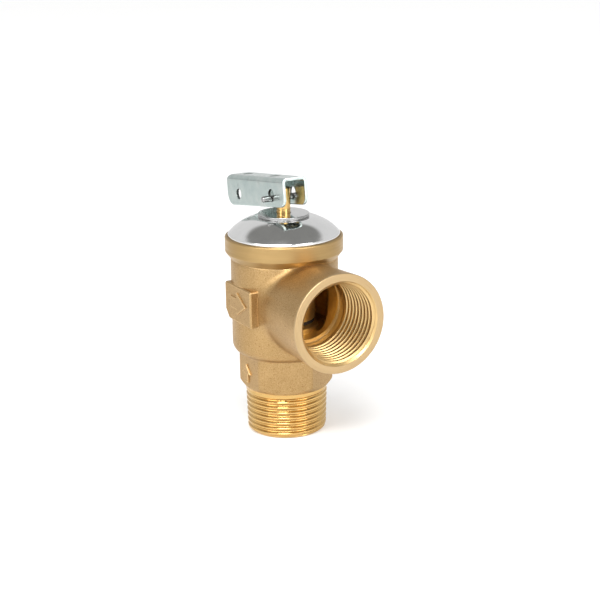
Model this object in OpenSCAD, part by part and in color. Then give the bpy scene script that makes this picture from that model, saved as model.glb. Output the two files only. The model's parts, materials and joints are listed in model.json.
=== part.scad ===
// Pressure relief valve, 3/4 inch, angle pattern, with a test lever.
// Millimetres. The origin is the centre of the inlet's end face, +Z runs up the
// stem and +X runs out of the outlet.

/* [Inlet] */
// Outer radius of the male inlet thread at mid-length
inlet_thread_r = 13.2; // [13.0:0.05:13.4]
// Length of the male thread, up to the wrench flats
inlet_thread_len = 15.2; // [14.4:0.1:16.0]
// Radius of the waterway through the inlet
inlet_bore_r = 8.5; // [7.8:0.1:8.8]
// Distance across the wrench flats
hex_flats = 27.7; // [27.4:0.1:28.0]
// Height of the top of the wrench flats
hex_top = 27.3; // [26.5:0.1:28.0]

/* [Chamber] */
// Outer radius of the cast chamber
chamber_r = 17.4; // [17.2:0.05:17.6]
// Inner radius of the chamber
chamber_bore_r = 14.3; // [14.0:0.1:14.5]
// Height of the valve seat's lip
seat_z = 37.0; // [36.4:0.1:37.6]
// Outer radius of the crimped rim
rim_r = 19.1; // [18.95:0.05:19.3]
// Height of the crimped rim's upper corner
rim_top = 65.3; // [65.1:0.1:65.5]

/* [Outlet] */
// Height of the outlet's centre line
outlet_z = 44.5; // [44.3:0.1:44.8]
// Reach of the outlet's mouth from the stem's centre line
outlet_reach = 34.8; // [33.0:0.1:37.0]
// Outer radius of the outlet boss at its mouth
outlet_r = 16.0; // [15.8:0.05:16.05]
// Radius of the female thread's crests
outlet_thread_r = 12.1; // [11.9:0.05:12.3]
// Depth of the outlet's tapped bore
outlet_thread_len = 20.0; // [18.0:0.5:20.5]

/* [Stem and lever] */
// Radius of the stem
stem_r = 2.25; // [2.1:0.05:2.3]
// Height of the stem's top
stem_top = 81.2; // [80.5:0.1:82.0]
// Height of the lever's pin
pin_z = 78.0; // [77.8:0.1:78.3]
// Radius of the lever's pin
pin_r = 0.95; // [0.8:0.05:0.97]
// Length of the lever from its free end to its pin
lever_reach = 31.0; // [28.0:0.5:36.0]
// Width of the lever over its two walls
lever_w = 8.8; // [8.4:0.1:9.0]
// Thickness of the lever's sheet
lever_t = 1.0; // [0.8:0.05:1.2]
// Droop of the lever's free end at rest, in degrees
lever_droop = 7.4; // [6.8:0.1:7.8]

/* [Cover] */
// Radius of the washer under the lever
washer_r = 8.3; // [7.5:0.1:8.6]
// Thickness of the cover's sheet
cover_t = 1.2; // [1.0:0.1:1.3]

/* [Spring] */
// Radius of the spring to the middle of its wire
spring_r = 6.6; // [6.5:0.05:6.7]
// Diameter of the spring's wire
spring_wire = 1.8; // [1.6:0.1:1.9]
// Number of turns
spring_turns = 7; // [6:0.5:8]

/* [Hidden] */
$fn = 64;
EPS = 0.01;
FIT = 0.05;

BRASS = "#cdaa73";
TURNED_BRASS = "#e6be82";
STEEL = "#b9bcbf";
ZINC = "#bccccf";
RUBBER = "#2b2b2b";

// Body
hex_r = hex_flats / 2 / cos(30);
hex_corner_r = 15.3;
hex_bevel_top = inlet_thread_len + 2.0;
thread_bevel = 1.1;
skirt_r = 15.1;
skirt_top = 30.8;
wall_top = 58.0;
rim_bottom = 60.7;
rim_bore_r = rim_r - 0.55;
lip_in_r = rim_r - 0.9;
lip_top = rim_top + 0.7;
floor_z = 35.2;
seat_pocket_z = 30.0;
seat_ring_r = 10.6;
seat_bore_r = inlet_bore_r - 0.5;
pad_face = 17.75;
pad_x = [-8.0, 9.4];
pad_z = [outlet_z - 5.6, outlet_z + 6.5];
pad_notch = [2.5, 2.8];
pad_arrow = [1.55, outlet_z + 0.8];
arrow_proud = 0.5;
outlet_root_r = outlet_r - 1.9;
passage_r = 11.2;
passage_z = outlet_z + 0.8;
outlet_bevel = 1.4;

// Moving stack, from the seat upwards
disc_gap = 0.02;
disc_z = seat_z + disc_gap;
disc_t = 2.4;
disc_r = 9.4;
holder_r = 9.8;
holder_neck_r = 9.0;
holder_cup_r = 8.0;
holder_floor = disc_z + disc_t + 3.8;
holder_shoulder = 54.0;
holder_top = 59.5;
pocket_r = 4.3;
clip_z = holder_floor - 1.05;
clip_t = 0.8;
head_t = 1.0;
head_z = clip_z - 0.1 - head_t;

// Diaphragm and its clamps
sheet_t = 1.2;
sheet_in_z = holder_shoulder;
sheet_out_z = rim_bottom;
clamp_z = sheet_out_z + sheet_t;
clamp_t = 1.8;
nut_z = sheet_in_z + sheet_t + 1.0;
nut_t = 2.6;

// Cover, whose dome is one arc from the flat top to the shoulder
cover_flange_z = clamp_z + clamp_t;
cover_r = rim_bore_r - FIT;
cover_top = 71.8;
dome_in = [washer_r - 0.1, cover_top];
dome_out = [lip_in_r - FIT, lip_top + 0.3];
dome_bulge = 1.5;
washer_t = 1.1;
washer_z = cover_top;

// Spring and its seats
lower_seat_z = holder_floor;
lower_seat_t = 1.2;
upper_seat_top = cover_top - cover_t;
upper_seat_t = 2.0;
spring_z = [lower_seat_z + lower_seat_t, upper_seat_top - upper_seat_t];
bush_flange_t = 1.0;
bush_flange_r = 4.4;
o_ring_wire = 0.85;
o_ring_z = upper_seat_top - bush_flange_t - o_ring_wire - FIT;

// Lever, in its own frame with the pin at the origin
lever_low = -2.87;
lever_high = 6.67;
lever_taper = 1.6;
lever_heel = 8.4;
heel_corner = 3.0;
tip_low_corner = 4.0;
tip_high_corner = 2.5;
lever_bend = 1.7;
lever_hole_r = 2.0;
lever_small_hole_r = 1.7;
lever_end_hole = [-22.8, 0.36];
lever_top_holes = [-23.3, -4.7];
pin_near = 7.8;
pin_far = 5.2;

// Points on an arc from angle a to angle b, in n steps
function arc(centre, r, a, b, n) =
    [for (i = [0:n]) centre + r * [cos(a + (b - a) * i / n), sin(a + (b - a) * i / n)]];

// Points on the arc from p to q that rises by h over its chord, to the right of it
function bulge(p, q, h, n) =
    let (d = q - p, c = norm(d), r = (c * c / 4 + h * h) / (2 * h),
         centre = (p + q) / 2 + [-d[1], d[0]] / c * (r - h),
         from_p = p - centre, from_q = q - centre)
    arc(centre, r, atan2(from_p[1], from_p[0]), atan2(from_q[1], from_q[0]), n);

// A turned ring between two radii, standing on z
module ring(r_in, r_out, z, h) {
    translate([0, 0, z])
        difference() {
            cylinder(r = r_out, h = h);
            translate([0, 0, -1]) cylinder(r = r_in, h = h + 2);
        }
}

// A solid of revolution from a list of [radius, height] points
module turned(points) {
    rotate_extrude() polygon(points);
}

// A flat arrow that points along +X, centred on its own length
module arrow(length, head_w, tail_w, head_len) {
    half = length / 2;
    polygon([
        [-half, -tail_w / 2], [half - head_len, -tail_w / 2],
        [half - head_len, -head_w / 2], [half, 0],
        [half - head_len, head_w / 2], [half - head_len, tail_w / 2],
        [-half, tail_w / 2]
    ]);
}

// The raised pad with its flow arrow, on the side that faces -Y
module flow_pad() {
    deep = 8;
    translate([0, -pad_face + deep, 0])
        rotate([90, 0, 0])
            linear_extrude(height = deep)
                polygon([
                    [pad_x[0] + pad_notch[0], pad_z[0]], [pad_x[1], pad_z[0]],
                    [pad_x[1], pad_z[1]], [pad_x[0], pad_z[1]],
                    [pad_x[0], pad_z[0] + pad_notch[1]]
                ]);
    translate([pad_arrow[0], -pad_face + EPS, pad_arrow[1]])
        rotate([90, 0, 0])
            linear_extrude(height = arrow_proud)
                arrow(10.4, 7.4, 3.9, 6.0);
}

// The raised arrow that points up on the wrench flat that faces -Y
module inlet_arrow() {
    translate([-1.4, -hex_flats / 2 + EPS, 20.6])
        rotate([90, 0, 0])
            linear_extrude(height = arrow_proud)
                rotate(90) arrow(6.2, 5.6, 2.6, 3.2);
}

module body_outside() {
    intersection() {
        cylinder(r = hex_r, h = hex_top, $fn = 6);
        turned([
            [0, inlet_thread_len - EPS], [inlet_thread_r + 0.2, inlet_thread_len - EPS],
            [hex_corner_r, hex_bevel_top], [hex_corner_r, hex_top], [0, hex_top]
        ]);
    }
    turned([
        [0, 0], [inlet_thread_r - thread_bevel, 0], [inlet_thread_r, thread_bevel],
        [inlet_thread_r, inlet_thread_len], [0, inlet_thread_len]
    ]);
    turned(concat(
        [[0, hex_top - EPS], [skirt_r - 1.4, hex_top - EPS]],
        arc([chamber_r - 3.4, skirt_top], 3.4, -75, 0, 5),
        [[chamber_r, wall_top], [rim_r, rim_bottom], [rim_r, rim_top],
         [rim_r - 0.55, lip_top], [0, lip_top]]
    ));
    translate([0, 0, outlet_z])
        rotate([0, 90, 0])
            cylinder(r1 = outlet_root_r, r2 = outlet_r, h = outlet_reach);
    for (side = [0, 1]) mirror([0, side, 0]) flow_pad();
    inlet_arrow();
}

module body_inside() {
    translate([0, 0, -1]) cylinder(r = inlet_bore_r, h = floor_z + 2);
    translate([0, 0, seat_pocket_z]) cylinder(r = seat_ring_r, h = floor_z);
    translate([0, 0, floor_z]) cylinder(r = chamber_bore_r, h = lip_top);
    turned([
        [0, rim_bottom], [rim_bore_r, rim_bottom], [rim_bore_r, rim_top - 0.1],
        [lip_in_r, rim_top + 0.25], [lip_in_r + 0.25, lip_top + EPS], [0, lip_top + EPS]
    ]);
    translate([0, 0, passage_z])
        rotate([0, 90, 0])
            cylinder(r = passage_r, h = outlet_reach - outlet_thread_len);
    translate([0, 0, outlet_z])
        rotate([0, 90, 0]) {
            translate([0, 0, outlet_reach - outlet_thread_len - EPS])
                cylinder(r = outlet_thread_r, h = outlet_thread_len + 1);
            translate([0, 0, outlet_reach - outlet_bevel])
                cylinder(r1 = outlet_thread_r, r2 = outlet_thread_r + outlet_bevel + EPS,
                         h = outlet_bevel + EPS);
        }
}

module valve_body() {
    color(BRASS)
        difference() {
            body_outside();
            body_inside();
        }
}

module seat_ring() {
    color(TURNED_BRASS)
        turned([
            [seat_bore_r, seat_pocket_z], [seat_ring_r, seat_pocket_z],
            [seat_ring_r, floor_z + 0.8], [seat_bore_r + 0.7, seat_z],
            [seat_bore_r, seat_z]
        ]);
}

module seat_disc() {
    color(RUBBER) ring(1.6, disc_r, disc_z, disc_t);
}

module disc_washer() {
    color(STEEL) ring(1.6, 5.5, disc_z - 0.8, 0.8);
}

module disc_screw() {
    color(STEEL) {
        translate([0, 0, disc_z - 0.8 - 1.8])
            difference() {
                cylinder(r = 2.9, h = 1.8);
                translate([0, 0, -1]) cylinder(r = 1.45, h = 2.2, $fn = 6);
            }
        translate([0, 0, disc_z - 0.8 - EPS]) cylinder(r = 1.5, h = disc_t + 2.4);
    }
}

module disc_holder() {
    web = disc_z + disc_t;
    color(TURNED_BRASS)
        difference() {
            turned([
                [0, web], [disc_r + FIT, web], [disc_r + FIT, disc_z + 1.2],
                [holder_r, disc_z + 1.2], [holder_r, holder_shoulder],
                [holder_neck_r, holder_shoulder], [holder_neck_r, holder_top],
                [holder_cup_r, holder_top], [holder_cup_r, holder_floor],
                [pocket_r, holder_floor], [pocket_r, head_z - FIT], [0, head_z - FIT]
            ]);
            translate([0, 0, clip_z - FIT]) cylinder(r = 4.9, h = clip_t + 2 * FIT);
            translate([0, 0, web - 1]) cylinder(r = 1.5, h = 2.6);
        }
}

module diaphragm() {
    color(RUBBER)
        turned([
            [holder_neck_r + FIT, sheet_in_z], [12.2, sheet_in_z], [13.6, sheet_in_z + 1.6],
            [13.6, sheet_out_z - 0.6], [14.1, sheet_out_z], [cover_r, sheet_out_z],
            [cover_r, clamp_z], [13.2, clamp_z], [12.4, clamp_z - 1.0],
            [12.4, sheet_in_z + 2.2], [11.6, sheet_in_z + sheet_t],
            [holder_neck_r + FIT, sheet_in_z + sheet_t]
        ]);
}

module diaphragm_washer() {
    color(STEEL) ring(holder_neck_r + FIT, 11.4, sheet_in_z + sheet_t, 1.0);
}

module diaphragm_nut() {
    color(TURNED_BRASS)
        translate([0, 0, nut_z])
            difference() {
                cylinder(r = 11.5, h = nut_t, $fn = 6);
                translate([0, 0, -1]) cylinder(r = holder_neck_r + FIT, h = nut_t + 2);
            }
}

module clamp_ring() {
    color(STEEL) ring(13.3, cover_r, clamp_z, clamp_t);
}

module lower_spring_seat() {
    color(STEEL) {
        ring(2.8, holder_cup_r - 0.3, lower_seat_z, lower_seat_t);
        ring(2.8, spring_r - spring_wire / 2 - 0.3, lower_seat_z, lower_seat_t + 1.0);
    }
}

// Height of the wire's middle at a fraction of the spring's length: the end
// turns lie closed and flat against their seats
function spring_height(f) =
    let (low = spring_z[0] + spring_wire / 2, high = spring_z[1] - spring_wire / 2,
         closed = 0.9 / spring_turns, s = min(1, max(0, (f - closed) / (1 - 2 * closed))))
    low + spring_wire * 0.55 * min(1, f / closed)
    + (high - low - spring_wire * 1.1) * s
    + spring_wire * 0.55 * max(0, (f - 1 + closed) / closed);

// One ring of points round the wire, at a fraction of the spring's length
function wire_ring(f, sides) =
    let (turn = 360 * spring_turns * f)
    [for (k = [0:sides - 1])
        let (a = 360 * k / sides, out = spring_r + spring_wire / 2 * cos(a))
        [out * cos(turn), out * sin(turn), spring_height(f) + spring_wire / 2 * sin(a)]];

module main_spring() {
    steps = round(spring_turns * 20);
    sides = 8;
    points = [for (i = [0:steps]) each wire_ring(i / steps, sides)];
    skin = [for (i = [0:steps - 1], k = [0:sides - 1])
        let (a = i * sides + k, b = i * sides + (k + 1) % sides)
        [a, b, b + sides, a + sides]];
    start = [[for (k = [sides - 1:-1:0]) k]];
    end = [[for (k = [0:sides - 1]) steps * sides + k]];
    color(STEEL) polyhedron(points, concat(skin, start, end), convexity = 6);
}

module upper_spring_seat() {
    boss_r = spring_r - spring_wire / 2 - 0.3;
    boss_z = spring_z[1] - 1.4;
    nest_z = upper_seat_top - bush_flange_t;
    color(STEEL)
        turned([
            [stem_r + 0.35, boss_z], [boss_r, boss_z], [boss_r, spring_z[1]],
            [7.4, spring_z[1]], [7.4, upper_seat_top], [bush_flange_r + FIT, upper_seat_top],
            [bush_flange_r + FIT, nest_z], [4.05, nest_z], [4.05, boss_z + 0.6],
            [stem_r + 0.35, boss_z + 0.6]
        ]);
}

module cover() {
    steps = 10;
    dome = bulge(dome_out, dome_in, dome_bulge, steps);
    inward = cover_t * [cos(60), sin(60)];
    color(STEEL)
        turned(concat(
            [[3.4, cover_top], [3.4, upper_seat_top], [dome_in[0] - 0.9, upper_seat_top]],
            [for (i = [steps - 1:-1:0]) dome[i] - inward],
            [[dome_out[0] - cover_t, cover_flange_z + cover_t], [14.0, cover_flange_z + cover_t],
             [14.0, cover_flange_z], [cover_r, cover_flange_z], [cover_r, rim_top - 0.15],
             [lip_in_r - FIT, rim_top + 0.2]],
            dome
        ));
}

module stem_bush() {
    color(TURNED_BRASS) {
        ring(stem_r + FIT, 3.4, upper_seat_top - bush_flange_t, bush_flange_t + cover_t);
        ring(stem_r + FIT, bush_flange_r, upper_seat_top - bush_flange_t, bush_flange_t);
    }
}

module stem_o_ring() {
    color(RUBBER)
        translate([0, 0, o_ring_z])
            rotate_extrude()
                translate([stem_r + FIT + o_ring_wire, 0]) circle(r = o_ring_wire);
}

module top_washer() {
    color(STEEL)
        turned([
            [stem_r + 0.15, washer_z], [washer_r - 0.25, washer_z], [washer_r, washer_z + 0.25],
            [washer_r, washer_z + washer_t - 0.25], [washer_r - 0.25, washer_z + washer_t],
            [stem_r + 0.15, washer_z + washer_t]
        ]);
}

module stem() {
    color(TURNED_BRASS)
        difference() {
            turned([
                [0, head_z], [pocket_r - 0.2, head_z], [pocket_r - 0.2, head_z + head_t],
                [stem_r, head_z + head_t], [stem_r, stem_top - 0.4],
                [stem_r - 0.4, stem_top], [0, stem_top]
            ]);
            translate([0, 10, pin_z]) rotate([90, 0, 0]) cylinder(r = pin_r, h = 20);
        }
}

module stem_clip() {
    color(STEEL) ring(stem_r + 0.15, 4.8, clip_z, clip_t);
}

// The lever's section: a sheet bent into a channel that opens downwards
module channel_section() {
    half = lever_w / 2;
    inner_bend = lever_bend - lever_t;
    low = lever_low - 2;
    difference() {
        union() {
            translate([-half, low]) square([lever_w, lever_high - low - lever_bend]);
            translate([-half + lever_bend, low])
                square([lever_w - 2 * lever_bend, lever_high - low]);
            for (side = [-1, 1])
                translate([side * (half - lever_bend), lever_high - lever_bend])
                    circle(r = lever_bend);
        }
        translate([-half + lever_t, low - 1])
            square([lever_w - 2 * lever_t, lever_high - low - lever_bend + 1]);
        translate([-half + lever_bend, low - 1])
            square([lever_w - 2 * lever_bend, lever_high - low - lever_t + 1]);
        for (side = [-1, 1])
            translate([side * (half - lever_bend), lever_high - lever_bend])
                circle(r = inner_bend);
    }
}

// Centre of a corner of radius r that stands on the lever's sloping lower edge
function low_corner(x, r) = [x, lever_low + x * tan(lever_taper) + r / cos(lever_taper)];

// The lever's side outline: its lower edge slopes down towards the free end
module lever_outline() {
    left = -lever_reach;
    right = lever_heel;
    polygon(concat(
        arc([left + tip_high_corner, lever_high - tip_high_corner], tip_high_corner, 90, 180, 6),
        arc(low_corner(left + tip_low_corner, tip_low_corner), tip_low_corner,
            180, 270 + lever_taper, 6),
        arc(low_corner(right - heel_corner, heel_corner), heel_corner,
            270 + lever_taper, 360, 6),
        [[right, lever_high + 1], [left + tip_high_corner, lever_high + 1]]
    ));
}

module lever() {
    color(ZINC)
        translate([0, 0, pin_z])
            rotate([0, -lever_droop, 0])
                difference() {
                    intersection() {
                        translate([-lever_reach - 1, 0, 0])
                            rotate([90, 0, 90])
                                linear_extrude(height = lever_reach + lever_heel + 2)
                                    channel_section();
                        translate([0, lever_w, 0])
                            rotate([90, 0, 0])
                                linear_extrude(height = 2 * lever_w) lever_outline();
                    }
                    translate([0, lever_w, lever_hole_r - pin_r - FIT])
                        rotate([90, 0, 0]) cylinder(r = lever_hole_r, h = 2 * lever_w);
                    translate([lever_end_hole[0], lever_w, lever_end_hole[1]])
                        rotate([90, 0, 0]) cylinder(r = lever_small_hole_r, h = 2 * lever_w);
                    for (x = lever_top_holes)
                        translate([x, 0, lever_high - 3])
                            cylinder(r = lever_small_hole_r, h = 6);
                }
}

module lever_pin() {
    dome = 0.35;
    color(STEEL)
        translate([0, pin_far, pin_z])
            rotate([90, 0, 0])
                turned([
                    [0, 0], [pin_r - dome, 0], [pin_r, dome],
                    [pin_r, pin_near + pin_far - dome],
                    [pin_r - dome, pin_near + pin_far], [0, pin_near + pin_far]
                ]);
}

valve_body();
seat_ring();
seat_disc();
disc_washer();
disc_screw();
disc_holder();
diaphragm();
diaphragm_washer();
diaphragm_nut();
clamp_ring();
lower_spring_seat();
main_spring();
upper_spring_seat();
cover();
stem_bush();
stem_o_ring();
top_washer();
stem();
stem_clip();
lever();
lever_pin();
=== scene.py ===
"""Pressure relief valve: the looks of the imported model, in metres, in its own frame.

Shapes are worked out in millimetres and turned into metres as each mesh is made.
"""

import json
import math

import bmesh
import bpy
import numpy as np
import openvdb
from mathutils import Matrix, Quaternion, Vector


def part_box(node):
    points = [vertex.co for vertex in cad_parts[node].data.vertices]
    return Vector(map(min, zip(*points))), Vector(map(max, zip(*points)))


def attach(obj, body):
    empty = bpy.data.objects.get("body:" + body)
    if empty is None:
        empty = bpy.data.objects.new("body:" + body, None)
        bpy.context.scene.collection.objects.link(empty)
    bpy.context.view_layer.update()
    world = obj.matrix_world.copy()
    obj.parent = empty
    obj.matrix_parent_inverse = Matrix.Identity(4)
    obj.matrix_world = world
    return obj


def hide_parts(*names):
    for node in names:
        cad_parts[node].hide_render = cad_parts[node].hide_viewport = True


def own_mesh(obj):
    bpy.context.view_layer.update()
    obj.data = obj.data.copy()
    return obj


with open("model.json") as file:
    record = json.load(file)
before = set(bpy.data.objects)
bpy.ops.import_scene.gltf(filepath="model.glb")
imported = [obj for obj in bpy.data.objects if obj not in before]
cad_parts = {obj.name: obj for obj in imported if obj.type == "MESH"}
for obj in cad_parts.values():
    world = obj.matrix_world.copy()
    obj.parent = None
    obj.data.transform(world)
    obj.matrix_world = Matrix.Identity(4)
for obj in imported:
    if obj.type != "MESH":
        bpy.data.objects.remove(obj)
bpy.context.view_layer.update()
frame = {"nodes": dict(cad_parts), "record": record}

MM = 0.001


# ---------------------------------------------------------------- the frame

def span(node):
    """Lowest and highest corner of a CAD node, in millimetres."""
    low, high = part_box(node)
    return np.array(low) / MM, np.array(high) / MM


def mount(name):
    """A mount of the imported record."""
    return next(m for m in frame["record"]["mounts"] if m["name"] == name)


def joint(name):
    """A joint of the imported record."""
    return next(j for j in frame["record"]["behaviour"]["joints"] if j["name"] == name)


BODY_LOW, BODY_HIGH = span("valve_body")
OUTLET_REACH = BODY_HIGH[0]
RIM_R = BODY_HIGH[1]
LIP_TOP = BODY_HIGH[2]
OUTLET_Z = mount("outlet_thread")["pos_m"][2] / MM
MALE_R = mount("inlet_thread")["dims"]["r_mm"]
FEMALE_R = mount("outlet_thread")["dims"]["r_mm"]
BORE_R = mount("inlet_bore")["dims"]["r_mm"]
PIN_Z = joint("lever_lift")["pos_m"][2] / MM
SEAT_LOW, SEAT_HIGH = span("seat_ring")
COVER_LOW, COVER_HIGH = span("cover")
WASHER_LOW, WASHER_HIGH = span("top_washer")
STEM_LOW, STEM_HIGH = span("stem")
PIN_LOW, PIN_HIGH = span("lever_pin")
SHEET_LOW, SHEET_HIGH = span("diaphragm")
SPRING_LOW, SPRING_HIGH = span("main_spring")

# Casting
CHAMBER_R = 17.4
CHAMBER_BORE_R = 14.3
CHAMBER_CORNER = 3.4
CHAMBER_LOW = 27.0
CHAMBER_TOP = 61.0
FLOOR_Z = 35.2
HEX_FLATS = 27.7
HEX_CORNER_R = 15.3
HEX_LOW = 15.2
HEX_TOP = 29.0
OUTLET_R = 16.0
OUTLET_ROOT_R = 14.1
PASSAGE_R = 11.2
PASSAGE_Z = OUTLET_Z + 0.8
PAD_FACE = 17.75
PAD_X = (-8.0, 9.4)
PAD_Z = (OUTLET_Z - 5.6, OUTLET_Z + 6.5)
PAD_ARROW = (1.55, OUTLET_Z + 0.8)
PAD_NOTCH = (2.5, 2.8)
PAD_BEVEL = 0.4
ARROW_PROUD = 0.5

# Threads: 14 to the inch, tapered 1 in 16 on the diameter
PITCH = 25.4 / 14
TAPER = 1 / 32
MALE_DEPTH = 0.62
FEMALE_DEPTH = 0.9
MALE_LEN = 15.6
FEMALE_LEN = 17.5
TAPPED_LEN = 20.0
LAND_R = FEMALE_R - FEMALE_LEN / 2 * TAPER

# Lever, in its own frame with the pin at the origin
DROOP = math.radians(7.4)
LEVER_TAPER = math.radians(1.6)
LEVER_TIP = -31.0
LEVER_HEEL = 8.4
LEVER_HALF = 4.4
LEVER_LOW = -2.87
LEVER_HIGH = 6.67
SHEET_T = 1.0
BEND_R = 1.7

# Stem, pin and cover
STEM_R = 2.25
PIN_R = (PIN_HIGH[0] - PIN_LOW[0]) / 2
COVER_T = 1.2
DOME_RISE = 0.8
SHOULDER = LIP_TOP + 0.6


# ---------------------------------------------------------------- mesh tools

def new_object(name, vertices, faces):
    """A mesh object from millimetre vertices and lists of vertex numbers."""
    mesh = bpy.data.meshes.new(name)
    mesh.from_pydata([tuple(v) for v in np.asarray(vertices, float) * MM], [],
                     [tuple(int(i) for i in f) for f in faces])
    mesh.update()
    obj = bpy.data.objects.new(name, mesh)
    bpy.context.collection.objects.link(obj)
    return obj


def tidy(obj):
    """Merges doubled points, drops collapsed faces and turns the faces outwards."""
    b = bmesh.new()
    b.from_mesh(obj.data)
    bmesh.ops.remove_doubles(b, verts=b.verts, dist=2e-7)
    bmesh.ops.dissolve_degenerate(b, edges=b.edges, dist=1e-7)
    bmesh.ops.recalc_face_normals(b, faces=b.faces)
    b.to_mesh(obj.data)
    b.free()
    return obj


def smooth(obj, angle=32):
    """Smooth shading with sharp edges where the surface turns by more than angle."""
    b = bmesh.new()
    b.from_mesh(obj.data)
    limit = math.radians(angle)
    for face in b.faces:
        face.smooth = True
    for edge in b.edges:
        flat = len(edge.link_faces) == 2 and edge.calc_face_angle(0) < limit
        same = len({f.material_index for f in edge.link_faces}) == 1
        edge.smooth = flat and same
    b.to_mesh(obj.data)
    b.free()
    step = obj.modifiers.new("normals", "WEIGHTED_NORMAL")
    step.keep_sharp = True
    step.weight = 80
    return baked(obj)


def rounded(points, radii, steps=6):
    """A closed outline with its corners replaced by arcs; radii has one radius a corner."""
    out = []
    n = len(points)
    for i, r in enumerate(radii):
        before, here, after = (np.array(points[(i + k) % n], float) for k in (-1, 0, 1))
        if r <= 0:
            out.append(here)
            continue
        a = (before - here) / np.linalg.norm(before - here)
        b = (after - here) / np.linalg.norm(after - here)
        half = math.acos(max(-1, min(1, float(a @ b)))) / 2
        reach = r / math.tan(half)
        middle = here + (a + b) / np.linalg.norm(a + b) * r / math.sin(half)
        start = here + a * reach - middle
        end = here + b * reach - middle
        turn = math.atan2(start[0] * end[1] - start[1] * end[0], float(start @ end))
        for k in range(steps + 1):
            t = turn * k / steps
            c, s = math.cos(t), math.sin(t)
            out.append(middle + [start[0] * c - start[1] * s, start[0] * s + start[1] * c])
    return out


def turned(name, outline, sides=160):
    """A solid of revolution about Z from a closed outline of (radius, height)."""
    outline = np.array(outline, float)
    n = len(outline)
    angles = np.arange(sides) * 2 * math.pi / sides
    ring = np.stack([np.cos(angles), np.sin(angles)], 1)
    flat = ring[:, None, :] * outline[None, :, :1]
    height = np.broadcast_to(outline[None, :, 1:], (sides, n, 1))
    vertices = np.concatenate([flat, height], 2).reshape(-1, 3)
    faces = []
    for j in range(sides):
        k = (j + 1) % sides
        for i in range(n):
            m = (i + 1) % n
            if outline[i, 0] > 1e-6 or outline[m, 0] > 1e-6:
                faces.append((j * n + i, k * n + i, k * n + m, j * n + m))
    return tidy(new_object(name, vertices, faces))


def lay_along_x(obj, z):
    """Turns a piece made along Z so that it lies along X at height z."""
    obj.data.transform(Matrix.Translation((0, 0, z * MM)) @ Matrix.Rotation(math.pi / 2, 4, "Y"))
    return obj


def baked(obj):
    """Applies a piece's modifiers to its mesh."""
    graph = bpy.context.evaluated_depsgraph_get()
    mesh = bpy.data.meshes.new_from_object(obj.evaluated_get(graph))
    obj.modifiers.clear()
    obj.data = mesh
    return obj


def combine(obj, tool, operation):
    """Joins tool to obj, or cuts it away, and removes tool."""
    step = obj.modifiers.new("combine", "BOOLEAN")
    step.solver = "MANIFOLD"
    step.operation = operation
    step.object = tool
    baked(obj)
    bpy.data.objects.remove(tool)
    return obj


# ---------------------------------------------------------------- distance fields

def grid(low, high, step):
    """Open coordinate arrays for a box of points."""
    axes = [np.arange(a, b + step, step, dtype=np.float32) for a, b in zip(low, high)]
    return (axes[0][:, None, None], axes[1][None, :, None], axes[2][None, None, :])


def blend_min(a, b, k):
    """The union of two fields with a fillet of about k."""
    h = np.maximum(k - np.abs(a - b), 0) / k
    return np.minimum(a, b) - h * h * k / 4


def round_max(a, b, r):
    """The overlap of two fields with an edge rounded to radius r."""
    p, q = a + r, b + r
    return np.minimum(np.maximum(p, q), 0) + np.hypot(np.maximum(p, 0), np.maximum(q, 0)) - r


def slab(values, low, high):
    """The field of the space between two parallel planes."""
    return np.abs(values - (low + high) / 2) - (high - low) / 2


def surface(name, field, low, step):
    """The zero surface of a field as a mesh of quads."""
    volume = openvdb.FloatGrid(background=float(step * 4))
    volume.copyFromArray(np.clip(field, -4 * step, 4 * step).astype(np.float32))
    points, quads = volume.convertToQuads()
    obj = new_object(name, points * step + np.array(low, float), quads)
    return tidy(obj)


# ---------------------------------------------------------------- threads

def thread_level(turns, crest, root):
    """1 on the crest and 0 at the root, for a position counted in pitches."""
    f = np.abs((turns % 1.0) - 0.5) * 2
    t = np.clip((f - root) / (1 - crest - root), 0, 1)
    return t * t * (3 - 2 * t) * 0.5 + t * 0.5


def helical_rod(name, low, high, radius, sides=192, rows=16):
    """A rod about Z whose rows follow a helix, so that a thread's crest is one clean edge.

    radius(turns, z) gives the radius, the same all round at z == low and z == high.
    """
    total = int(math.ceil((high - low) / PITCH) + 1) * rows
    row = np.arange(total + 1)[:, None]
    col = np.arange(sides)[None, :]
    turns = np.broadcast_to(row / rows, (total + 1, sides))
    z = np.clip(low + (row / rows - 1 + col / sides) * PITCH, low, high)
    r = radius(turns, z)
    angle = np.broadcast_to(2 * math.pi * col / sides, z.shape)
    vertices = np.stack([r * np.cos(angle), r * np.sin(angle), z], 2).reshape(-1, 3)
    faces = []
    for i in range(total):
        for j in range(sides - 1):
            a = i * sides + j
            faces.append((a, a + 1, a + sides + 1, a + sides))
        if i + rows + 1 <= total:
            a, b = i * sides + sides - 1, (i + rows) * sides
            faces.append((a, b, b + sides, a + sides))
    obj = tidy(new_object(name, vertices, faces))
    b = bmesh.new()
    b.from_mesh(obj.data)
    bmesh.ops.holes_fill(b, edges=[e for e in b.edges if e.is_boundary], sides=0)
    bmesh.ops.recalc_face_normals(b, faces=b.faces)
    b.to_mesh(obj.data)
    b.free()
    return obj


def male_thread():
    """The inlet's threaded stub, up into the wrench flats."""
    top_r = MALE_R + MALE_LEN / 2 * TAPER
    start_r = top_r - MALE_LEN * TAPER - 1.1

    def radius(turns, z):
        crest = top_r - (MALE_LEN - z) * TAPER
        fade = np.clip((z - (MALE_LEN - 1.3 * PITCH)) / PITCH, 0, 1)
        r = crest - MALE_DEPTH * (1 - thread_level(turns, 0.26, 0.16)) * (1 - fade)
        return np.minimum(r, start_r + z * 1.1)

    return helical_rod("inlet_thread", 0.0, MALE_LEN, radius)


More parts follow.
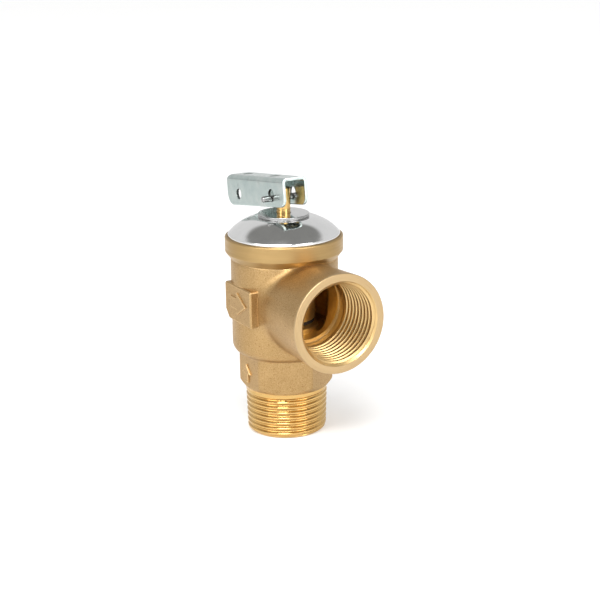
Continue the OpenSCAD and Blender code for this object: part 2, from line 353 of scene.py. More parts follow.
def female_thread():
    """The cutter for the outlet's threaded mouth, along Z from the inner end to the mouth."""
    low, high = OUTLET_REACH - FEMALE_LEN, OUTLET_REACH
    mouth_r = FEMALE_R + FEMALE_LEN / 2 * TAPER

    def radius(turns, z):
        land = mouth_r - (high - z) * TAPER
        fade = np.clip((z - low) / (1.1 * PITCH), 0, 1)
        r = LAND_R + (land - LAND_R + FEMALE_DEPTH * thread_level(turns, 0.08, 0.38)) * fade
        return np.maximum(r, mouth_r + 1.18 - (high - z) * 1.0)

    return helical_rod("outlet_thread", low, high, radius)


# ---------------------------------------------------------------- materials

class Shader:
    """A material's node tree, with short ways to add and join nodes."""

    def __init__(self, name):
        self.material = bpy.data.materials.new(name)
        self.material.use_nodes = True
        self.tree = self.material.node_tree
        self.skin = self.tree.nodes["Principled BSDF"]

    def add(self, kind, **settings):
        made = self.tree.nodes.new("ShaderNode" + kind)
        for key, value in settings.items():
            if hasattr(made, key):
                setattr(made, key, value)
            else:
                made.inputs[key.replace("_", " ")].default_value = value
        return made

    def join(self, source, target):
        self.tree.links.new(source, target)

    def place(self):
        """The surface point in the piece's own coordinates, in metres."""
        return self.add("TexCoord").outputs["Object"]

    def along(self, direction):
        """How far the surface point lies along a direction, in metres."""
        made = self.add("VectorMath", operation="DOT_PRODUCT")
        made.inputs[1].default_value = direction
        self.join(self.place(), made.inputs[0])
        return made.outputs["Value"]

    def noise(self, vector, scale, detail=2.0, rough=0.5):
        """Noise from 0 to 1; scale is in grains a metre."""
        made = self.add("TexNoise", Scale=scale, Detail=detail, Roughness=rough)
        self.join(vector, made.inputs["Vector"])
        return made.outputs["Fac"]

    def ramp(self, value, stops):
        """Colours or greys along a value; stops is a list of (place, colour)."""
        made = self.add("ValToRGB")
        ramp = made.color_ramp
        while len(ramp.elements) < len(stops):
            ramp.elements.new(0.5)
        for element, (place, colour) in zip(ramp.elements, stops):
            element.position = place
            grey = isinstance(colour, (int, float))
            element.color = (colour, colour, colour, 1) if grey else (*colour, 1)
        self.join(value, made.inputs["Fac"])
        return made.outputs["Color"]

    def mix(self, factor, a, b):
        """Mixes two colours, each a socket or a colour; factor is a socket or a number."""
        made = self.add("Mix", data_type="RGBA")
        for socket, value in ((made.inputs[0], factor), (made.inputs[6], a), (made.inputs[7], b)):
            if isinstance(value, bpy.types.NodeSocket):
                self.join(value, socket)
            else:
                socket.default_value = value if isinstance(value, (int, float)) else (*value, 1)
        return made.outputs[2]

    def math(self, operation, a, b):
        made = self.add("Math", operation=operation)
        for socket, value in zip(made.inputs, (a, b)):
            if isinstance(value, bpy.types.NodeSocket):
                self.join(value, socket)
            else:
                socket.default_value = value
        return made.outputs[0]

    def bump(self, layers):
        """Stacks bump layers of (height, strength, distance in metres)."""
        last = None
        for height, strength, distance in layers:
            made = self.add("Bump", Strength=strength, Distance=distance)
            self.join(height, made.inputs["Height"])
            if last is not None:
                self.join(last, made.inputs["Normal"])
            last = made.outputs["Normal"]
        self.join(last, self.skin.inputs["Normal"])

    def edges(self, radius):
        """0 on flat faces and 1 on edges, within a radius in metres, whatever the mesh. Fillets and
        inside corners count as edges too, so a lighter colour mixed in with this mask is a painted
        highlight there.
        """
        eased = self.add("Bevel", samples=4)
        eased.inputs["Radius"].default_value = radius
        aligned = self.add("VectorMath", operation="DOT_PRODUCT")
        self.join(eased.outputs["Normal"], aligned.inputs[0])
        self.join(self.add("NewGeometry").outputs["Normal"], aligned.inputs[1])
        turned_away = self.math("SUBTRACT", 1.0, aligned.outputs["Value"])
        return self.ramp(turned_away, [(0.015, 0.0), (0.12, 1.0)])

    def round_axis(self, axis="Z", height=0.0):
        """Coordinates that run slowly round an axis and fast across it, for turning marks."""
        shift = self.add("VectorMath", operation="SUBTRACT")
        shift.inputs[1].default_value = (0, 0, height)
        self.join(self.place(), shift.inputs[0])
        parts = self.add("SeparateXYZ")
        self.join(shift.outputs[0], parts.inputs[0])
        x, y, z = parts.outputs
        a, b, along = (x, y, z) if axis == "Z" else (y, z, x)
        radius = self.math("SQRT", self.math("ADD", self.math("MULTIPLY", a, a),
                                             self.math("MULTIPLY", b, b)), 0.0)
        turn = self.math("MULTIPLY", self.math("ARCTAN2", b, a), 0.0004)
        made = self.add("CombineXYZ")
        for socket, value in zip(made.inputs, (radius, along, turn)):
            self.join(value, socket)
        return made.outputs[0]


def cast_brass():
    """Bead-blasted cast brass: a fine sparkling grain, paler on edges and fillets: rubbed wear on
    outer edges and a painted highlight along fillets and inside corners.
    """
    s = Shader("cast_brass")
    p = s.place()
    grain = s.noise(p, 5200, 2.0, 0.6)
    pits = s.noise(p, 2400, 3.0, 0.55)
    cloud = s.noise(p, 90, 3.0, 0.6)
    colour = s.ramp(cloud, [(0.3, (0.39, 0.249, 0.105)), (0.7, (0.465, 0.304, 0.136))])
    colour = s.mix(s.ramp(grain, [(0.56, 0.0), (0.7, 1.0)]), colour, (0.62, 0.44, 0.23))
    colour = s.mix(s.ramp(pits, [(0.3, 1.0), (0.46, 0.0)]), colour, (0.29, 0.165, 0.06))
    # Paler wherever the bevel mask finds an edge: rubbed wear on outer edges, a painted highlight
    # along fillets and inside corners.
    colour = s.mix(s.edges(0.0004), colour, (0.78, 0.56, 0.29))
    s.join(colour, s.skin.inputs["Base Color"])
    s.join(s.ramp(grain, [(0.3, 0.52), (0.75, 0.34)]), s.skin.inputs["Roughness"])
    s.skin.inputs["Metallic"].default_value = 1.0
    s.bump([(cloud, 0.25, 0.0002), (pits, 0.35, 0.00006), (grain, 0.45, 0.00003)])
    return s.material


def turned_brass(name, colour, axis="Z", height=0.0, rough=0.2, marks_strength=0.16):
    """Machined brass: fine turning marks round an axis, hazed here and there."""
    s = Shader(name)
    around = s.round_axis(axis, height)
    marks = s.noise(around, 5200, 2.0, 0.6)
    bands = s.noise(around, 900, 2.0, 0.5)
    cloud = s.noise(s.place(), 140, 2.0, 0.6)
    skin = s.mix(bands, tuple(c * 0.9 for c in colour), tuple(c * 1.1 for c in colour))
    if axis == "Z":
        # Lighter on edges: wear on outer edges, a painted highlight in fillets and inside corners.
        skin = s.mix(s.edges(0.0002), skin, tuple(min(1.0, c * 1.35) for c in colour))
    s.join(skin, s.skin.inputs["Base Color"])
    rough_low = s.ramp(marks, [(0.35, rough * 0.8), (0.7, rough * 1.5)])
    s.join(s.mix(s.ramp(cloud, [(0.4, 0.0), (0.75, 0.35)]), rough_low, (0.4, 0.4, 0.4)),
           s.skin.inputs["Roughness"])
    s.skin.inputs["Metallic"].default_value = 1.0
    s.bump([(bands, 0.08, 0.00005), (marks, marks_strength, 0.00002)])
    return s.material


def polished_steel(name, tone=0.8, rough=0.09, marks_strength=0.1):
    """Bright polished steel with faint concentric marks and a few hazy patches."""
    s = Shader(name)
    around = s.round_axis()
    marks = s.noise(around, 6500, 2.0, 0.6)
    haze = s.noise(s.place(), 130, 4.0, 0.65)
    specks = s.noise(s.place(), 3800, 1.0, 0.5)
    colour = s.mix(haze, (tone * 0.86,) * 3, (tone * 1.07, tone * 1.07, tone * 1.06))
    colour = s.mix(s.ramp(specks, [(0.68, 0.0), (0.76, 0.5)]), colour, (0.42, 0.42, 0.42))
    # Lighter on edges: wear on outer edges, a painted highlight in fillets and inside corners.
    colour = s.mix(s.edges(0.0002), colour, (0.9, 0.9, 0.9))
    s.join(colour, s.skin.inputs["Base Color"])
    s.join(s.ramp(haze, [(0.35, rough), (0.7, rough * 1.9)]), s.skin.inputs["Roughness"])
    s.skin.inputs["Metallic"].default_value = 1.0
    s.bump([(marks, marks_strength, 0.00002)])
    return s.material


def zinc_plate(name, tone=1.0, rough=0.2):
    """Blue-white zinc plating over stamped sheet, a little stained and scuffed, lighter on edges:
    scuffs on outer edges, a painted highlight in inside corners.
    """
    s = Shader(name)
    p = s.place()
    cloud = s.noise(p, 260, 4.0, 0.6)
    stain = s.noise(p, 420, 5.0, 0.7)
    fine = s.noise(p, 4200, 2.0, 0.6)
    stretch = s.add("Mapping")
    stretch.inputs["Scale"].default_value = (0.08, 1, 1)
    s.join(p, stretch.inputs["Vector"])
    draw = s.noise(stretch.outputs[0], 3000, 2.0, 0.6)
    shades = ((0.3, (0.40, 0.475, 0.465)), (0.52, (0.47, 0.54, 0.52)), (0.72, (0.55, 0.595, 0.575)))
    colour = s.ramp(cloud, [(at, tuple(c * tone for c in shade)) for at, shade in shades])
    colour = s.mix(s.ramp(stain, [(0.60, 0.0), (0.72, 0.55)]), colour,
                   tuple(c * tone for c in (0.20, 0.225, 0.21)))
    # Lighter on edges: wear on outer edges, a painted highlight in fillets and inside corners.
    colour = s.mix(s.edges(0.0002), colour, tuple(c * tone for c in (0.80, 0.84, 0.83)))
    s.join(colour, s.skin.inputs["Base Color"])
    s.join(s.ramp(cloud, [(0.3, rough * 0.85), (0.7, rough * 1.4)]), s.skin.inputs["Roughness"])
    s.skin.inputs["Metallic"].default_value = 1.0
    s.bump([(draw, 0.10, 0.00003), (fine, 0.18, 0.00002)])
    return s.material


def plain_steel(name, tone=0.5, rough=0.3):
    """Plain or drawn steel, slightly uneven."""
    s = Shader(name)
    p = s.place()
    cloud = s.noise(p, 300, 3.0, 0.6)
    fine = s.noise(p, 4500, 2.0, 0.6)
    s.join(s.mix(cloud, (tone * 0.85,) * 3, (tone * 1.12, tone * 1.1, tone * 1.08)),
           s.skin.inputs["Base Color"])
    s.join(s.ramp(cloud, [(0.3, rough * 0.8), (0.7, rough * 1.3)]), s.skin.inputs["Roughness"])
    s.skin.inputs["Metallic"].default_value = 1.0
    s.bump([(fine, 0.08, 0.00002)])
    return s.material


def black_rubber():
    """Moulded matt rubber with a dusty bloom."""
    s = Shader("black_rubber")
    p = s.place()
    bloom = s.noise(p, 350, 4.0, 0.65)
    fine = s.noise(p, 5000, 2.0, 0.6)
    s.join(s.mix(bloom, (0.02, 0.016, 0.013), (0.04, 0.034, 0.028)), s.skin.inputs["Base Color"])
    s.join(s.ramp(bloom, [(0.3, 0.5), (0.7, 0.72)]), s.skin.inputs["Roughness"])
    s.bump([(fine, 0.2, 0.00003)])
    return s.material


CAST = cast_brass()
TURNED = turned_brass("turned_brass", (0.60, 0.385, 0.14), rough=0.13)
RIM_BRASS = turned_brass("turned_brass_rim", (0.42, 0.28, 0.12), rough=0.36)
TURNED_OUTLET = turned_brass("turned_brass_outlet", (0.64, 0.445, 0.20), "X", OUTLET_Z * MM, 0.34)
RING_BRASS = turned_brass("turned_brass_face", (0.50, 0.355, 0.188), "X", OUTLET_Z * MM, 0.42, 0.1)
# A separate, more saturated copy of the brass for the body's inside and the inner CAD parts:
# painted bounce light, the colour that light takes bouncing round the shaded bore.
INNER_BRASS_PAINTED_BOUNCE = turned_brass("turned_brass_inner_painted_bounce", (0.88, 0.60, 0.22), rough=0.42)
COVER_STEEL = polished_steel("polished_steel")
WASHER_STEEL = polished_steel("polished_washer", 0.62, 0.07, 0.05)
# A darker copy of the washer's steel for its sides: painted shade.
WASHER_SIDE_SHADE = polished_steel("washer_side_painted_shade", 0.34, 0.2, 0.05)
ZINC = zinc_plate("zinc_plate")
# A brighter copy of the plating for the lever's cut edges: a painted highlight.
ZINC_EDGE_HIGHLIGHT = zinc_plate("zinc_cut_edge_painted_highlight", 1.4, 0.3)
# A dark copy of the plating for the faces inside the lever's holes: painted shade.
ZINC_HOLE_SHADE = zinc_plate("zinc_hole_painted_shade", 0.22, 0.4)
STEEL = plain_steel("plain_steel", 0.52, 0.28)
PIN_STEEL = plain_steel("pin_steel", 0.34, 0.3)
SPRING_STEEL = plain_steel("spring_steel", 0.34, 0.32)
RUBBER = black_rubber()


# ---------------------------------------------------------------- the body

def casting():
    """The cast skin: chamber, wrench flats and outlet boss, with fillets."""
    step = 0.3
    low = (BODY_LOW[0] - 1.5, BODY_LOW[1] - 1.5, HEX_LOW - 2.0)
    high = (OUTLET_REACH + 3.0, BODY_HIGH[1] + 1.5, CHAMBER_TOP + 2.0)
    x, y, z = grid(low, high, step)
    rho = np.hypot(x, y)

    flats = slab(y, -HEX_FLATS / 2, HEX_FLATS / 2)
    for angle in (30, 150):
        c, s = math.cos(math.radians(angle)), math.sin(math.radians(angle))
        flats = round_max(flats, slab(x * c + y * s, -HEX_FLATS / 2, HEX_FLATS / 2), 0.3)
    flats = round_max(flats, rho - HEX_CORNER_R, 0.15)
    bevel = (rho - MALE_R - 0.35 - (z - HEX_LOW)) * math.sqrt(0.5)
    hexagon = round_max(np.maximum(flats, slab(z, HEX_LOW, HEX_TOP)), bevel, 0.4)

    chamber = round_max(rho - CHAMBER_R, slab(z, CHAMBER_LOW, CHAMBER_TOP), CHAMBER_CORNER)
    field = blend_min(hexagon, chamber, 0.9)

    boss_r = OUTLET_ROOT_R + (OUTLET_R - OUTLET_ROOT_R) * x / OUTLET_REACH
    boss = np.maximum(np.hypot(y, z - OUTLET_Z) - boss_r, slab(x, 0, OUTLET_REACH + 1))
    field = blend_min(field, boss, 2.4)

    return surface("valve_body_detail", field, low, step)


def raised(name, outline, back, proud, bevel):
    """A plate from z = -back to z = proud with the given outline and a chamfered top."""
    n = len(outline)
    vertices = [(x, y, z) for z in (-back, proud) for x, y in outline]
    faces = [range(n)[::-1], range(n, 2 * n)]
    faces += [(i, (i + 1) % n, (i + 1) % n + n, i + n) for i in range(n)]
    obj = new_object(name, vertices, faces)
    b = bmesh.new()
    b.from_mesh(obj.data)
    top = [e for e in b.edges if min(v.co.z for v in e.verts) > (proud - 0.01) * MM]
    bmesh.ops.bevel(b, geom=top, offset=bevel * MM, segments=1, profile=0.5, affect="EDGES")
    b.to_mesh(obj.data)
    b.free()
    return paint(tidy(obj), CAST)


def arrow_mark(length, head_w, tail_w, head_len):
    """A raised arrow that points along +X."""
    half = length / 2
    outline = [(-half, -tail_w / 2), (half - head_len, -tail_w / 2), (half - head_len, -head_w / 2),
               (half, 0), (half - head_len, head_w / 2), (half - head_len, tail_w / 2),
               (-half, tail_w / 2)]
    return raised("arrow", outline, 1.0, ARROW_PROUD, 0.2)


def flow_marks():
    """The pads with their flow arrows, and the arrow on a wrench flat."""
    facing = Matrix.Rotation(math.pi / 2, 4, "X")
    near, far = Matrix.Identity(4), Matrix.Diagonal((1, -1, 1, 1))
    on_pad = Matrix.Translation((0, -PAD_FACE * MM, 0))
    to_middle = Matrix.Translation((PAD_ARROW[0] * MM, 0, PAD_ARROW[1] * MM))
    marks = []
    left, right = PAD_X
    low, high = PAD_Z
    for turn in (near, far):
        outline = rounded([(left + PAD_NOTCH[0], low), (right, low), (right, high),
                           (left, high), (left, low + PAD_NOTCH[1])],
                          [0.9, 0.6, 0.7, 0.7, 0.9], 5)
        pad = raised("pad", outline, 9.0, 0.0, PAD_BEVEL)
        pad.data.transform(turn @ on_pad @ facing)
        mark = arrow_mark(10.4, 7.4, 3.9, 6.0)
        mark.data.transform(turn @ on_pad @ to_middle @ facing)
        marks += [tidy(pad), tidy(mark)]
    mark = arrow_mark(6.2, 5.6, 2.6, 3.2)
    place = Matrix.Translation((-1.4 * MM, -HEX_FLATS / 2 * MM, 20.6 * MM))
    mark.data.transform(place @ facing @ Matrix.Rotation(math.pi / 2, 4, "Z"))
    return marks + [tidy(mark)]


def rim():
    """The turned rim round the cover, with its rounded, crimped lip."""
    outline = rounded(
        [(14.8, 58.9), (CHAMBER_R - 0.25, 58.35), (RIM_R, 60.9), (RIM_R, LIP_TOP - 0.45),
         (RIM_R - 0.42, LIP_TOP), (RIM_R - 0.95, LIP_TOP - 0.35), (14.8, 65.0)],
        [0, 0.3, 0.5, 0.5, 0.3, 0, 0])
    return turned("rim", outline, 256)


def stack_space():
    """The space inside the body, from the inlet up to the crimped lip."""
    rim_bore = COVER_HIGH[0] + 0.03
    outline = [
        (0, -1), (BORE_R + 0.5, -1), (BORE_R + 0.5, 0), (BORE_R, 0.5),
        (BORE_R, SEAT_LOW[2]), (SEAT_HIGH[0], SEAT_LOW[2]), (SEAT_HIGH[0], FLOOR_Z),
        (CHAMBER_BORE_R - 1, FLOOR_Z), (CHAMBER_BORE_R, FLOOR_Z + 1),
        (CHAMBER_BORE_R, SHEET_HIGH[2] - 1.2), (rim_bore, SHEET_HIGH[2] - 1.2),
        (rim_bore, LIP_TOP - 0.75), (RIM_R - 0.88, LIP_TOP - 0.42),
        (RIM_R - 0.75, LIP_TOP + 1), (0, LIP_TOP + 1),
    ]
    return turned("stack_space", outline, 200)


def outlet_space():
    """The smooth bore behind the outlet's thread."""
    start, end = OUTLET_REACH - TAPPED_LEN, OUTLET_REACH - FEMALE_LEN + 0.02
    outline = [(0, start), (LAND_R - 0.3, start), (LAND_R, start + 0.3), (LAND_R, end), (0, end)]
    return lay_along_x(turned("outlet_space", outline, 160), OUTLET_Z)


def cored_passage():
    """The cast waterway between the chamber and the outlet's bore."""
    end = OUTLET_REACH - TAPPED_LEN + 0.1
    outline = [(0, 2), (PASSAGE_R, 2), (PASSAGE_R, end), (0, end)]
    return lay_along_x(turned("cored_passage", outline, 160), PASSAGE_Z)


def mouth_trim():
    """What the lathe takes off the outlet's mouth: its face, its corner and a shallow band."""
    face = OUTLET_REACH
    far = OUTLET_R + 4
    outline = rounded(
        [(0, face), (OUTLET_R - 0.2, face), (OUTLET_R - 0.03, face - 0.2),
         (OUTLET_R - 0.1, face - 3.2), (OUTLET_R + 0.4, face - 3.4), (far, face - 3.4),
         (far, face + 4), (0, face + 4)],
        [0, 0.1, 0.12, 0, 0, 0, 0, 0])
    return lay_along_x(turned("mouth_trim", outline, 200), OUTLET_Z)


def paint(obj, *materials):
    """Gives a piece its material slots."""
    obj.data.materials.clear()
    for material in materials:
        obj.data.materials.append(material)
    return obj


def valve_body():
    """The casting with its marks, rim and threads, and what is cut out of it."""
    body = paint(casting(), CAST, RIM_BRASS, TURNED, RING_BRASS, TURNED_OUTLET, INNER_BRASS_PAINTED_BOUNCE)
    for mark in flow_marks():
        combine(body, mark, "UNION")
    combine(body, paint(rim(), RIM_BRASS), "UNION")
    combine(body, paint(male_thread(), TURNED), "UNION")
    combine(body, paint(mouth_trim(), RING_BRASS), "DIFFERENCE")
    # The inside takes the more saturated brass copy: painted bounce light.
    combine(body, paint(stack_space(), INNER_BRASS_PAINTED_BOUNCE), "DIFFERENCE")
    combine(body, paint(cored_passage(), INNER_BRASS_PAINTED_BOUNCE), "DIFFERENCE")
    combine(body, paint(outlet_space(), TURNED_OUTLET), "DIFFERENCE")
    combine(body, paint(lay_along_x(female_thread(), OUTLET_Z), TURNED_OUTLET), "DIFFERENCE")
    return smooth(body, 34)


# ---------------------------------------------------------------- the lever

def in_lever_frame(obj):
    """Puts a piece made in the lever's own frame in its place."""
    obj.data.transform(Matrix.Translation((0, 0, PIN_Z * MM)) @ Matrix.Rotation(-DROOP, 4, "Y"))
    return obj


def lever():
    """The stamped channel: bent sheet with rounded corners, cut edges and holes."""
    step = 0.15
    low = (LEVER_TIP - 1, -LEVER_HALF - 1, LEVER_LOW - 2)
    high = (LEVER_HEEL + 1, LEVER_HALF + 1, LEVER_HIGH + 1)
    u, v, w = grid(low, high, step)
    wide = np.abs(v)
    outer = round_max(wide - LEVER_HALF, w - LEVER_HIGH, BEND_R)
    inner = round_max(wide - LEVER_HALF + SHEET_T, w - LEVER_HIGH + SHEET_T, BEND_R - SHEET_T)
    channel = np.maximum(outer, -inner)

    edge = (LEVER_LOW + u * math.tan(LEVER_TAPER) - w) * math.cos(LEVER_TAPER)
    tip, heel = LEVER_TIP - u, u - LEVER_HEEL
    outline = round_max(tip, edge, 4.0)
    outline = np.maximum(outline, round_max(heel, edge, 3.0))
    outline = np.maximum(outline, round_max(tip, w - LEVER_HIGH, 2.5))

    holes = np.minimum(np.hypot(u, w - 1.0) - 2.0, np.hypot(u + 22.8, w - 0.36) - 1.7)
    top_holes = np.minimum(np.hypot(u + 23.3, v) - 1.7, np.hypot(u + 4.7, v) - 1.7)
    top_holes = np.maximum(top_holes, LEVER_HIGH - 3 - w)
    holes = np.minimum(holes, top_holes)

    field = round_max(channel, outline, 0.18)
    field = round_max(field, -holes, 0.16)
    # Cut edges take the brighter plating, a painted highlight, and the insides of the holes take
    # the dark plating, painted shade.
    made = paint(surface("lever_detail", field, low, step), ZINC, ZINC_EDGE_HIGHLIGHT, ZINC_HOLE_SHADE)
    for face in made.data.polygons:
        face.material_index = sheet_look(face.center / MM, face.normal)
    return smooth(in_lever_frame(made), 50)


def sheet_look(centre, normal):
    """Which material a face of the lever takes: 0 plated, 1 a cut edge, lightened as a painted
    highlight, 2 inside a hole, darkened as painted shade.
    """
    u, v, w = centre
    side_holes = ((0.0, 1.0, 2.0), (-22.8, 0.36, 1.7))
    if abs(v) > LEVER_HALF - SHEET_T:
        for x, z, r in side_holes:
            if math.hypot(u - x, w - z) < r + 0.08 and abs(normal.y) < 0.6:
                return 2
    if w > LEVER_HIGH - SHEET_T and abs(normal.z) < 0.6:
        for x in (-23.3, -4.7):
            if math.hypot(u - x, v) < 1.78:
                return 2
    at_end = u > LEVER_HEEL - 0.25 or u < LEVER_TIP + 0.25
    rounded_corner = w < LEVER_LOW + 3.0 and abs(v) > LEVER_HALF - SHEET_T and abs(normal.y) < 0.7
    if (at_end and abs(normal.x) > 0.5) or rounded_corner:
        return 1
    return 0


# ---------------------------------------------------------------- turned pieces

def cover():
    """The domed cover, with its rolled shoulder under the crimped lip."""
    top = COVER_HIGH[2]
    flat_r, shoulder_r = WASHER_HIGH[0] + 0.9, RIM_R - 0.95
    steps = 24
    chord = np.array([flat_r - shoulder_r, top - SHOULDER])
    length = np.linalg.norm(chord)
    radius = (length ** 2 / 4 + DOME_RISE ** 2) / (2 * DOME_RISE)
    out = np.array([chord[1], -chord[0]]) / length
    middle = (np.array([shoulder_r, SHOULDER]) + chord / 2) - out * (radius - DOME_RISE)
    start = np.array([shoulder_r, SHOULDER]) - middle
    end = start + chord
    sweep = math.atan2(start[0] * end[1] - start[1] * end[0], float(start @ end))
    dome = []
    for k in range(steps + 1):
        c, s = math.cos(sweep * k / steps), math.sin(sweep * k / steps)
        dome.append(middle + [start[0] * c - start[1] * s, start[0] * s + start[1] * c])
    inner = [middle + (p - middle) * (radius - COVER_T) / radius for p in dome]
    foot = COVER_HIGH[0]
    outline = [(3.4, top), (3.4, top - COVER_T), (flat_r - 0.9, top - COVER_T)]
    outline += inner[-2:0:-1]
    outline += [(shoulder_r - COVER_T, COVER_LOW[2] + COVER_T), (14.0, COVER_LOW[2] + COVER_T),
                (14.0, COVER_LOW[2]), (foot, COVER_LOW[2]), (foot, LIP_TOP - 0.85),
                (shoulder_r, LIP_TOP - 0.5)]
    corner = len(outline)
    outline += dome[:1] + dome[3:]
    radii = [0.6 if k == corner else 0 for k in range(len(outline))]
    return smooth(paint(turned("cover_detail", rounded(outline, radii), 256), COVER_STEEL), 40)


def top_washer():
    """The washer that the lever's heel pushes on, with a rolled edge."""
    low, high, r = WASHER_LOW[2], WASHER_HIGH[2], WASHER_HIGH[0]
    hole = STEM_R + 0.15
    outline = rounded([(hole, low), (r, low), (r, high), (hole, high)], [0.1, 0.3, 0.3, 0.15], 8)
    made = paint(turned("top_washer_detail", outline, 200), WASHER_STEEL, WASHER_SIDE_SHADE)
    # The washer's sides take the darker steel: painted shade under its bright top edge.
    for face in made.data.polygons:
        face.material_index = int(abs(face.normal.z) < 0.75)
    return smooth(made, 50)


def at_pin(turn):
    """Turns a piece made about Z to lie along Y and puts it at the pivot's height."""
    return Matrix.Translation((0, 0, PIN_Z * MM)) @ Matrix.Rotation(turn, 4, "X")


def stem():
    """The stem, with its foot, a turned groove and the pin's cross hole."""
    foot_r = STEM_HIGH[0]
    low, high = STEM_LOW[2], STEM_HIGH[2]
    groove = WASHER_HIGH[2] + 1.0
    outline = rounded(
        [(0, low), (foot_r, low), (foot_r, low + 1.0), (STEM_R, low + 1.0),
         (STEM_R, groove - 0.22), (STEM_R - 0.12, groove), (STEM_R, groove + 0.22),
         (STEM_R, high), (0, high)],
        [0, 0.2, 0.2, 0.15, 0, 0, 0, 0.45, 0], 5)
    made = paint(turned("stem_detail", outline, 96), TURNED)
    hole = turned("hole", [(0, -4), (PIN_R, -4), (PIN_R, 4), (0, 4)], 48)
    hole.data.transform(at_pin(math.pi / 2))
    combine(made, paint(hole, TURNED), "DIFFERENCE")
    return smooth(made, 34)


def lever_pin():
    """The pivot pin, with domed ends."""
    low, high = PIN_LOW[1], PIN_HIGH[1]
    dome = PIN_R * 0.62
    outline = rounded([(0, low), (PIN_R, low), (PIN_R, high), (0, high)], [0, dome, dome, 0], 8)
    made = turned("lever_pin_detail", outline, 64)
    made.data.transform(at_pin(-math.pi / 2))
    return smooth(paint(made, PIN_STEEL), 50)


def diaphragm():
    """The rubber diaphragm, with a rolled fold between its clamped edges."""
    inner, outer = SHEET_LOW[2], SHEET_HIGH[2]
    thick = 1.2
    neck = 9.05
    outline = rounded(
        [(neck, inner), (12.2, inner), (13.6, inner + 1.6), (13.6, outer - 1.8),
         (14.1, outer - thick), (SHEET_HIGH[0], outer - thick), (SHEET_HIGH[0], outer),
         (13.2, outer), (12.4, outer - 1.0), (12.4, inner + 2.2), (11.6, inner + thick),
         (neck, inner + thick)],
        [0.1, 0.6, 0.8, 0.3, 0.3, 0.2, 0.2, 0.8, 0.8, 0.6, 0.6, 0.1])
    return smooth(paint(turned("diaphragm_detail", outline, 160), RUBBER), 60)


def main_spring():
    """The coil spring with closed ends."""
    low, high = SPRING_LOW[2], SPRING_HIGH[2]
    wire = 0.9
    coil_r = SPRING_HIGH[0] - wire
    turns, closed = 7.0, 0.9
    steps, sides = (504), 16
    vertices = []
    bottom, top = low + wire, high - wire
    lead = wire * 1.1
    for i in range(steps + 1):
        f = turns * i / steps
        ends = lead * min(1, f / closed) + lead * max(0, (f - turns + closed) / closed)
        climb = min(1, max(0, (f - closed) / (turns - 2 * closed)))
        z = bottom + ends + (top - bottom - 2 * lead) * climb
        a = 2 * math.pi * f
        for k in range(sides):
            b = 2 * math.pi * k / sides
            r = coil_r + wire * math.cos(b)
            vertices.append((r * math.cos(a), r * math.sin(a), z + wire * math.sin(b)))
    faces = []
    for i in range(steps):
        for k in range(sides):
            m = (k + 1) % sides
            faces.append((i * sides + k, i * sides + m, (i + 1) * sides + m, (i + 1) * sides + k))
    faces.append([k for k in range(sides)][::-1])
    faces.append([steps * sides + k for k in range(sides)])
    return smooth(paint(tidy(new_object("main_spring_detail", vertices, faces)), SPRING_STEEL), 60)


# ---------------------------------------------------------------- assembly

def settle(piece, body, node):
    """Rides a detailed piece on its body, in place of its CAD node."""
    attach(piece, body)
    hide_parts(node)
    return piece


def dress_cad_nodes():
    """Materials for the CAD nodes that stay."""
    # The inner brass parts take the more saturated brass copy: painted bounce light.
    looks = {
        "seat_ring": INNER_BRASS_PAINTED_BOUNCE, "disc_holder": INNER_BRASS_PAINTED_BOUNCE, "diaphragm_nut": INNER_BRASS_PAINTED_BOUNCE,
        "stem_bush": TURNED, "seat_disc": RUBBER, "stem_o_ring": RUBBER,
        "disc_washer": STEEL, "disc_screw": STEEL, "diaphragm_washer": STEEL,
        "clamp_ring": STEEL, "lower_spring_seat": STEEL, "upper_spring_seat": STEEL,
        "stem_clip": STEEL,
    }
    for node, material in looks.items():
        obj = frame["nodes"][node]
        if obj.material_slots:
            for held in obj.material_slots:
                held.material = material
        else:
            obj.data.materials.append(material)


def build():
    """Every detailed piece on its body, and the looks of the CAD nodes that stay."""
    settle(valve_body(), "housing", "valve_body")
    settle(cover(), "housing", "cover")
    settle(top_washer(), "housing", "top_washer")
    settle(lever(), "lever", "lever")
    settle(stem(), "stem", "stem")
    settle(lever_pin(), "stem", "lever_pin")
    sheet = settle(diaphragm(), "housing", "diaphragm")
    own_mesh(sheet)
    coil = settle(main_spring(), "housing", "main_spring")
    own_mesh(coil)
    dress_cad_nodes()


# ---------------------------------------------------------------- the studio

CAMERA_AZIMUTH = math.radians(60.56)
CAMERA_ELEVATION = math.radians(16.41)
CAMERA_DISTANCE = 0.475
CAMERA_ROLL = math.radians(-0.82)
CAMERA_LENS = 87.24
CAMERA_AIM = Vector((0.0024, 0.00426, 0.04351))
SWEEP_NEAR = 0.25
SWEEP_GLOW = (0.22, 0.52)
SOFTBOX_AIM = Vector((0, 0, 0.045))
SOFTBOX_DISTANCE = 0.9
TALL_BOX = (0.45, 0.7)
WIDE_BOX = (0.5, 0.35)


def from_camera_side(azimuth, elevation):
    """The direction at an angle to the camera's side, as seen from above."""
    a = CAMERA_AZIMUTH + math.radians(azimuth)
    e = math.radians(elevation)
    return Vector((math.sin(a) * math.cos(e), -math.cos(a) * math.cos(e), math.sin(e)))


def camera():
    """The camera in front of the outlet, a little to its side and above it."""
    back = from_camera_side(0, math.degrees(CAMERA_ELEVATION))
    data = bpy.data.cameras.new("camera")
    data.lens = CAMERA_LENS
    data.clip_start = 0.01
    obj = bpy.data.objects.new("camera", data)
    bpy.context.collection.objects.link(obj)
    obj.location = CAMERA_AIM + back * CAMERA_DISTANCE
    obj.rotation_mode = "QUATERNION"
    turn = Quaternion((0, 0, 1), CAMERA_ROLL)
    obj.rotation_quaternion = (-back).to_track_quat("-Z", "Y") @ turn
    bpy.context.scene.camera = obj


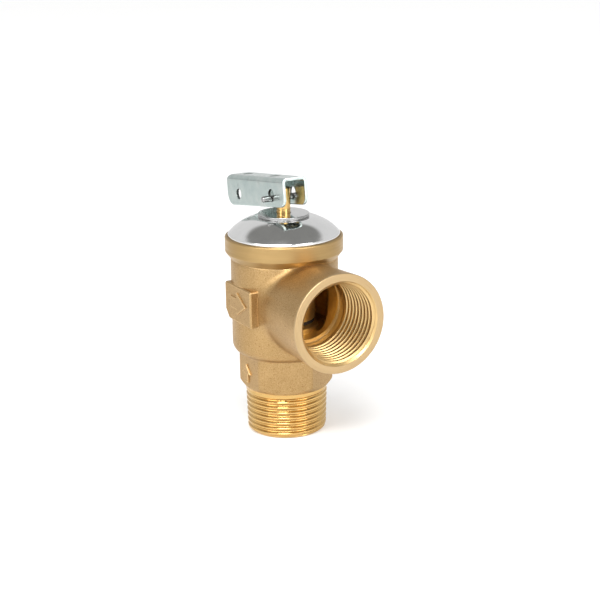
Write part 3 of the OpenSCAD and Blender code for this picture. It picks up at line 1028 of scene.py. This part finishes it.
def softbox(name, azimuth, elevation, size, power):
    """A soft rectangular light that faces the valve."""
    data = bpy.data.lights.new(name, "AREA")
    data.shape = "RECTANGLE"
    data.size, data.size_y = size
    data.energy = power
    obj = bpy.data.objects.new(name, data)
    bpy.context.collection.objects.link(obj)
    away = from_camera_side(azimuth, elevation)
    obj.location = SOFTBOX_AIM + away * SOFTBOX_DISTANCE
    obj.rotation_mode = "QUATERNION"
    obj.rotation_quaternion = (-away).to_track_quat("-Z", "Y")


def floor():
    """The pale floor, lit from below in a wedge in front of and behind the valve."""
    size = 6.0
    mesh = bpy.data.meshes.new("floor")
    mesh.from_pydata([(-size, -size, 0), (size, -size, 0), (size, size, 0), (-size, size, 0)],
                     [], [(0, 1, 2, 3)])
    obj = bpy.data.objects.new("floor", mesh)
    bpy.context.collection.objects.link(obj)
    s = Shader("floor")
    tone = s.noise(s.place(), 3, 2.0, 0.5)
    s.join(s.mix(tone, (0.76, 0.76, 0.76), (0.78, 0.78, 0.78)), s.skin.inputs["Base Color"])
    s.skin.inputs["Roughness"].default_value = 0.9
    s.skin.inputs["Emission Color"].default_value = (1, 1, 1, 1)
    across = s.math("ABSOLUTE", s.along(from_camera_side(90, 0)), 0.0)
    deep = s.math("ABSOLUTE", s.along(from_camera_side(0, 0)), 0.0)
    spread = s.math("DIVIDE", across, s.math("ADD", deep, SWEEP_NEAR))
    glow = s.ramp(deep, [(0.1, SWEEP_GLOW[0]), (0.8, SWEEP_GLOW[1])])
    glow = s.math("MULTIPLY", glow, s.ramp(spread, [(0.45, 1.0), (1.3, 0.0)]))
    s.join(glow, s.skin.inputs["Emission Strength"])
    obj.data.materials.append(s.material)


def sky():
    """White surroundings up to a height, and a dim ceiling above."""
    world = bpy.data.worlds.new("studio")
    bpy.context.scene.world = world
    world.use_nodes = True
    tree = world.node_tree
    coords = tree.nodes.new("ShaderNodeTexCoord")
    parts = tree.nodes.new("ShaderNodeSeparateXYZ")
    ramp = tree.nodes.new("ShaderNodeValToRGB")
    tree.links.new(coords.outputs["Generated"], parts.inputs[0])
    tree.links.new(parts.outputs["Z"], ramp.inputs["Fac"])
    ramp.color_ramp.elements[0].position = 0.66
    ramp.color_ramp.elements[0].color = (0.8, 0.8, 0.8, 1)
    ramp.color_ramp.elements[1].position = 0.74
    ramp.color_ramp.elements[1].color = (0.27, 0.27, 0.26, 1)
    background = tree.nodes["Background"]
    tree.links.new(ramp.outputs["Color"], background.inputs["Color"])
    background.inputs["Strength"].default_value = 1.0


def studio():
    """Camera, floor, surroundings and lights."""
    bpy.context.scene.view_settings.view_transform = "Standard"
    camera()
    floor()
    sky()
    softbox("left_softbox", -48, 28, TALL_BOX, 3.2)
    softbox("right_softbox", 46, 30, TALL_BOX, 4.2)
    softbox("front_softbox", -8, 54, WIDE_BOX, 7.0)


build()
studio()
